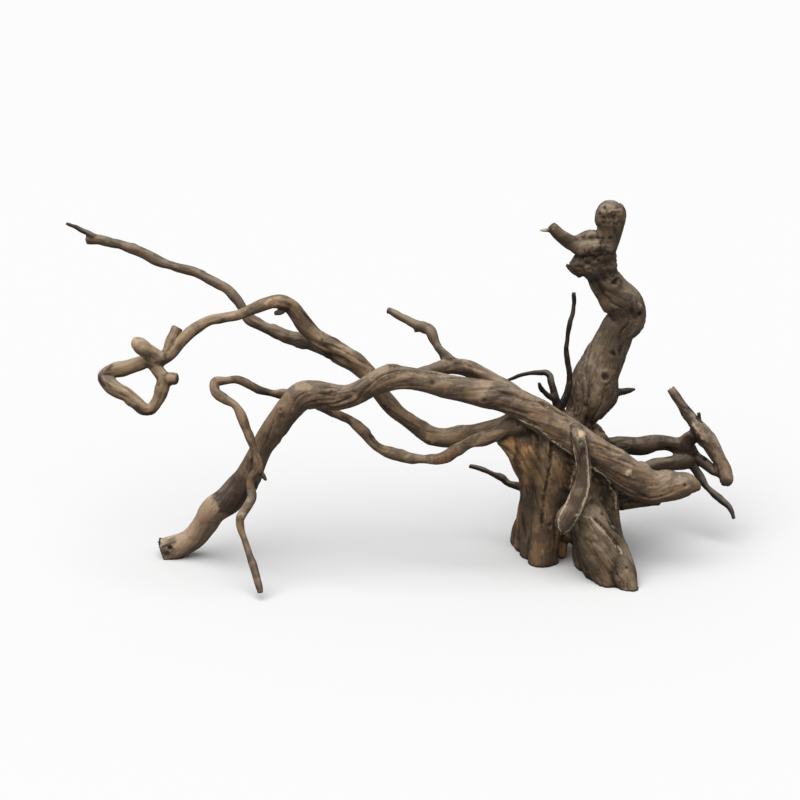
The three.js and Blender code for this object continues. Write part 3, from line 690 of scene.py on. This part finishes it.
def picture_of(points):
    """Columns, rows and distances of points in the eye's picture."""
    offset = points - EYE
    reach = offset @ FORWARD
    scale = EYE_DISTANCE / UNIT / reach
    return PICTURE / 2 + offset @ RIGHT * scale, PICTURE / 2 - offset @ UPWARD * scale, reach


SIGHT_WIDTH = 1.3  # how far from a place, in the picture, a point still counts as being there


def seen_points(points, places):
    """The wood's own points that the eye sees first at some places of its picture."""
    columns, rows, reach = picture_of(points)
    found = []
    for column, row in places:
        aside = np.hypot(columns - column, rows - row)
        near = np.flatnonzero(aside < max(SIGHT_WIDTH, aside.min() + 0.5))
        found.append(points[near[reach[near].argmin()]])
    return np.array(found)


def closeness(points, marks, width):
    """1 on a row of marks, falling to 0 at a width from it."""
    nearest = np.full(len(points), 1.0)
    inside = ((points > marks.min(axis=0) - width) & (points < marks.max(axis=0) + width)).all(axis=1)
    for mark in marks:
        distance = np.linalg.norm(points[inside] - mark, axis=1)
        nearest[inside] = np.minimum(nearest[inside], distance)
    return 1 - ramp(nearest / width, 0.1, 1.0)


def along_line(stops):
    """Places one picture unit apart on a line through stops."""
    stops = np.array(stops, dtype=float)
    length = np.append(0, np.cumsum(np.linalg.norm(np.diff(stops, axis=0), axis=1)))
    steps = np.linspace(0, length[-1], int(length[-1]) + 2)
    return np.column_stack([np.interp(steps, length, stops[:, 0]), np.interp(steps, length, stops[:, 1])])


def relief(points, reading):
    """How far the surface stands out, how deep in a hollow it lies, and how much of a crest it is."""
    share = reading["share"]
    height, hollow = grain_relief(reading["grain"][0], reading["half"][0], reading["owner"][0])
    joint = np.flatnonzero(share < 1)
    other = grain_relief(reading["grain"][1][joint], reading["half"][1][joint], reading["owner"][1][joint])
    height[joint] = height[joint] * share[joint] + other[0] * (1 - share[joint])
    hollow[joint] = hollow[joint] * share[joint] + other[1] * (1 - share[joint])
    for column, row, radius, rise in LUMPS:
        height += rise / 1000 * closeness(points, seen_points(points, [(column, row)]), radius / 1000)
    for column, row, radius, depth in PITS:
        mark = seen_points(points, [(column, row)])
        dent = closeness(points, mark, radius / DENT_FADE)
        height += depth / 1000 * (0.4 * closeness(points, mark, radius / RIM_FADE) - 1.4 * dent)
        hollow = np.maximum(hollow, np.minimum(1.6 * dent, 1.2))
    rough = noise(points / 0.0042, 11) + 0.7 * noise(points / 0.0021, 12)
    for column, row, radius, size in BURRS:
        burr = closeness(points, seen_points(points, [(column, row)]), radius / 1000)
        height += size / 1000 * rough * np.minimum(2 * burr, 1)
        hollow = np.maximum(hollow, ramp(-rough, 0.15, 0.8) * np.minimum(2 * burr, 1))
    for width, depth, stops in CREASES:
        groove = closeness(points, seen_points(points, along_line(stops)), width / 1000)
        height -= depth / 1000 * groove
        hollow = np.maximum(hollow, groove)
    crest = np.zeros(len(points))
    for width, rise, stops in CRESTS:
        ridge = closeness(points, seen_points(points, along_line(stops)), width / 1000)
        height += rise / 1000 * ridge
        crest = np.maximum(crest, ridge)
    return height, hollow, crest


reading = read_limbs(points)
height = relief(points, reading)[0]
points = points + vertex_values("normal") * np.where(sole, 0, height)[:, None]
points[:, 2] = np.where(sole, 0, np.maximum(points[:, 2], 0))
move_vertices(points)

thin = wood.modifiers.new("fewer faces", "DECIMATE")
thin.ratio = TRIANGLES / sum(len(face.vertices) - 2 for face in wood.data.polygons)
bpy.ops.object.modifier_apply(modifier=thin.name)
bpy.ops.object.shade_smooth()

# What the colour needs from the shape is kept on the vertices: the place in the grain, the limb's own
# colour, hollows, crests, sheltered crotches, faces that look up, sawn ends, bark and wear.
points = vertex_values("co")
reading = read_limbs(points)
_, hollow, crest = relief(points, reading)
share = reading["share"]
own, next_to = reading["owner"]
colours = np.array([limb.colour for limb in limbs])
blend = colours[own] * share[:, None] + colours[next_to] * (1 - share)[:, None]

# The arm keeps a sleeve of dark bark above its end, with a ragged edge, and the end below it is bare.
SLEEVE = [(240, 478), (221, 511)]  # column and row of its upper border and of its lower one
SLEEVE_BROWN = wood_colour(58, 48, 46)
SLEEVE_FADE = (0.006, 0.004)  # m before and after the upper border
SLEEVE_EDGE = 0.0006  # m to each side of the lower one
BARE_TAN = wood_colour(142, 119, 96)
sleeve_ends = limbs[ARM].measure(seen_points(points, SLEEVE))[3][:, 2]
ragged = noise(points / 0.006, 8) * 0.003 + noise(points / 0.0022, 9) * 0.0012
on_arm = own == ARM
down_arm = reading["grain"][0][:, 2] + ragged
bare = on_arm * ramp(down_arm, sleeve_ends[1] - SLEEVE_EDGE, sleeve_ends[1] + SLEEVE_EDGE)
sleeve = on_arm * ramp(down_arm, sleeve_ends[0] - SLEEVE_FADE[0], sleeve_ends[0] + SLEEVE_FADE[1])
sleeve = sleeve * (1 - bare)
blend = blend + (BARE_TAN - blend) * bare[:, None]
# Stains are painted on, and two painted highlights with them.
for column, row, radius, colour in STAINS_AND_HIGHLIGHTS:
    spot = closeness(points + 0.5 * ragged[:, None], seen_points(points, [(column, row)]), radius / 1000)
    blend = blend + (wood_colour(*colour) - blend) * np.minimum(1.7 * spot, 0.9)[:, None]
blend = blend + (SLEEVE_BROWN - blend) * (sleeve * 0.85)[:, None]

FOOT_EDGE_DARKENING = (0.0005, 0.004)  # m above the ground, between which the feet's dark edge fades


def keep(name, kind, field, values):
    """Keeps a value for each vertex under a name."""
    layer = wood.data.attributes.new(name, kind, "POINT")
    layer.data.foreach_set(field, np.ascontiguousarray(values, dtype=np.float32).ravel())


keep("grain", "FLOAT_VECTOR", "vector", wound(reading["grain"][0], own))
keep("wood", "FLOAT_COLOR", "color", np.column_stack([blend, np.ones(len(points))]))
# Hollows, and the feet darker towards the ground, are kept together.
keep("hollow", "FLOAT", "value", np.maximum(hollow, 0.8 * (1 - ramp(points[:, 2], *FOOT_EDGE_DARKENING))))
keep("crest", "FLOAT", "value", crest)
keep("crotch", "FLOAT", "value", 4 * share * (1 - share))
keep("up", "FLOAT", "value", vertex_values("normal")[:, 2])
keep("sawn", "FLOAT", "value", reading["cut"])
keep("bark", "FLOAT", "value", np.array([limb.bark for limb in limbs])[own] * (1 - bare))
keep("wear", "FLOAT", "value", np.array([limb.wear for limb in limbs])[own] * (1 - sleeve))

# Weathered wood
# Dry, unsealed wood: grey-brown, streaked along the grain, dark in fissures and crotches with dirt and
# painted shade, pale where it stands out and is worn, with painted highlights on crests, tops painted paler
# and undersides painted darker as light and shade, and with patches of dark bark left on it.
material = bpy.data.materials.new("weathered_wood")
material.use_nodes = True
tree = material.node_tree
tree.nodes.clear()


class Shade:
    """One output of a node, with the sums that a number needs."""

    def __init__(self, socket):
        self.socket = socket

    @staticmethod
    def node(kind, settings=None, output=0, **inputs):
        """Adds a node, sets its settings, then its inputs by name or by number, as values or links."""
        made = tree.nodes.new(kind)
        for name, value in (settings or {}).items():
            setattr(made, name, value)
        for name, value in inputs.items():
            key = int(name[1:]) if name[0] == "_" else name.replace("_", " ")
            if isinstance(value, Shade):
                tree.links.new(value.socket, made.inputs[key])
            else:
                made.inputs[key].default_value = value
        return Shade(made.outputs[output])

    @staticmethod
    def sum(operation, *values):
        inputs = {f"_{i}": value for i, value in enumerate(values)}
        return Shade.node("ShaderNodeMath", {"operation": operation}, **inputs)

    def __add__(self, other):
        return Shade.sum("ADD", self, other)

    def __sub__(self, other):
        return Shade.sum("SUBTRACT", self, other)

    def __rsub__(self, other):
        return Shade.sum("SUBTRACT", other, self)

    def __mul__(self, other):
        return Shade.sum("MULTIPLY", self, other)

    __radd__ = __add__
    __rmul__ = __mul__

    def between(self, low, high):
        """0 below low, 1 above high, and a smooth rise between them."""
        settings = {"interpolation_type": "SMOOTHSTEP"}
        return Shade.node("ShaderNodeMapRange", settings, Value=self, From_Min=low, From_Max=high)

    def stretched(self, x, y, z):
        """A place counted in patches, with this many to a metre each way."""
        return Shade.node("ShaderNodeVectorMath", {"operation": "MULTIPLY"}, _0=self, _1=(x, y, z))

    def mottle(self, detail):
        """Noise from 0 to 1, with patches about one unit wide."""
        return Shade.node("ShaderNodeTexNoise", Vector=self, Scale=1.0, Detail=detail, Roughness=0.55)

    def mixed(self, other, amount):
        """This colour, turned into another one by an amount from 0 to 1."""
        return Shade.node("ShaderNodeMix", {"data_type": "RGBA"}, 2, _0=amount, _6=self, _7=other)


def kept(name, output):
    """What the shape left on the vertices under a name."""
    return Shade.node("ShaderNodeAttribute", {"attribute_name": name}, output)


def paint(red, green, blue):
    """A colour of the wood for a node."""
    return (*wood_colour(red, green, blue), 1.0)


grain = kept("grain", "Vector")
own_wood = kept("wood", "Color")
hollow = kept("hollow", "Fac")
crest = kept("crest", "Fac")
crotch = kept("crotch", "Fac")
up = kept("up", "Fac")
sawn = kept("sawn", "Fac")
bark = kept("bark", "Fac")
wear = kept("wear", "Fac")
place = Shade.node("ShaderNodeTexCoord", output="Object")

long_streaks = grain.stretched(330, 330, 22).mottle(3)
fibres = grain.stretched(1050, 1050, 75).mottle(2)
weathering = place.stretched(62, 62, 62).mottle(4)
specks = place.stretched(420, 420, 420).mottle(3)

# Painted light: faces that look up are painted paler, as if lit from above.
painted_top_light = up.between(0.2, 0.95)
worn = (long_streaks * 0.5 + fibres * 0.3 + weathering * 0.5 - 0.15).between(0.45, 0.66) * wear
bark_left = (weathering * 0.7 + long_streaks * 0.3 + bark * 0.3).between(0.57, 0.66)
# Dirt and painted shade: fissures, pits, crotches between limbs and the feet's edge by the ground are
# darkened.
dirt_and_painted_shade = (hollow * 0.8 + crotch * 0.5).between(0.1, 1.0)
# Painted shade: faces that look down are darkened.
painted_underside_shade = (0.42 - up).between(0.0, 1.1)

WORN_AND_TOP_LIT_PALE = paint(208, 194, 174)
BARK_BLACK = paint(46, 36, 30)
TANNIN_RED = paint(118, 84, 56)
SHADED_BROWN = paint(34, 25, 18)
CREVICE_DIRT_AND_SHADE = paint(20, 14, 10)
DARK_FIBRE = paint(30, 22, 16)
RUBBED_AND_HIGHLIT_PALE = paint(186, 166, 142)
END_GRAIN = paint(44, 34, 27)

# Real wear and painted top light both make the wood paler here.
colour = own_wood.mixed(WORN_AND_TOP_LIT_PALE, (worn * 0.35 + 0.2) * painted_top_light + worn * 0.16)
colour = colour.mixed(BARK_BLACK, bark_left * 0.6)
colour = colour.mixed(TANNIN_RED, specks.between(0.55, 0.75) * 0.3)
# Painted shade under the limbs.
colour = colour.mixed(SHADED_BROWN, painted_underside_shade * 0.78)
# Dirt and painted shade in the hollows and crotches.
colour = colour.mixed(CREVICE_DIRT_AND_SHADE, dirt_and_painted_shade * 0.85)
colour = colour.mixed(DARK_FIBRE, (1 - fibres).between(0.55, 0.8) * 0.5)
# Wear and painted highlight: thin ridges are painted pale.
colour = colour.mixed(RUBBED_AND_HIGHLIT_PALE, crest * long_streaks.between(0.3, 0.5) * 0.75)
colour = colour.mixed(END_GRAIN, sawn * 0.75)

bump_height = fibres * 0.5 + long_streaks * 0.35 + specks * 0.25
bump = Shade.node("ShaderNodeBump", Strength=0.8, Distance=0.0013, Height=bump_height)
surface = Shade.node(
    "ShaderNodeBsdfPrincipled",
    Base_Color=colour,
    Roughness=0.85 - worn * 0.25,
    Specular_IOR_Level=0.12,
    Normal=bump,
)
output = tree.nodes.new("ShaderNodeOutputMaterial")
tree.links.new(surface.socket, output.inputs["Surface"])
wood.data.materials.append(material)

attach(wood, "root")
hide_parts("spiderwood_root")

# Studio
# A plain pale floor, lit so brightly that it shows white, and soft light from above and a little in front.
FLOOR = 12.0
FLOOR_WHITE = (0.6, 0.6, 0.6, 1)
SKY_LIGHT = 0.42
TOP_LIGHT = 4.2
TOP_LIGHT_SPREAD = math.radians(70)
TOP_LIGHT_TILT = (math.radians(22), math.radians(-14), 0)

bpy.ops.mesh.primitive_plane_add(size=FLOOR)
floor = bpy.context.object
floor.name = "floor"
floor_paint = bpy.data.materials.new("floor_white")
floor_paint.use_nodes = True
floor_shader = floor_paint.node_tree.nodes["Principled BSDF"]
floor_shader.inputs["Base Color"].default_value = FLOOR_WHITE
floor_shader.inputs["Roughness"].default_value = 1.0
floor.data.materials.append(floor_paint)

sky = bpy.data.worlds.new("studio")
sky.use_nodes = True
sky.node_tree.nodes["Background"].inputs["Color"].default_value = (1, 1, 1, 1)
sky.node_tree.nodes["Background"].inputs["Strength"].default_value = SKY_LIGHT
bpy.context.scene.world = sky
bpy.context.scene.view_settings.view_transform = "Standard"

bpy.ops.object.light_add(type="SUN", rotation=TOP_LIGHT_TILT)
top_light = bpy.context.object
top_light.name = "top light"
top_light.data.energy = TOP_LIGHT
top_light.data.angle = TOP_LIGHT_SPREAD

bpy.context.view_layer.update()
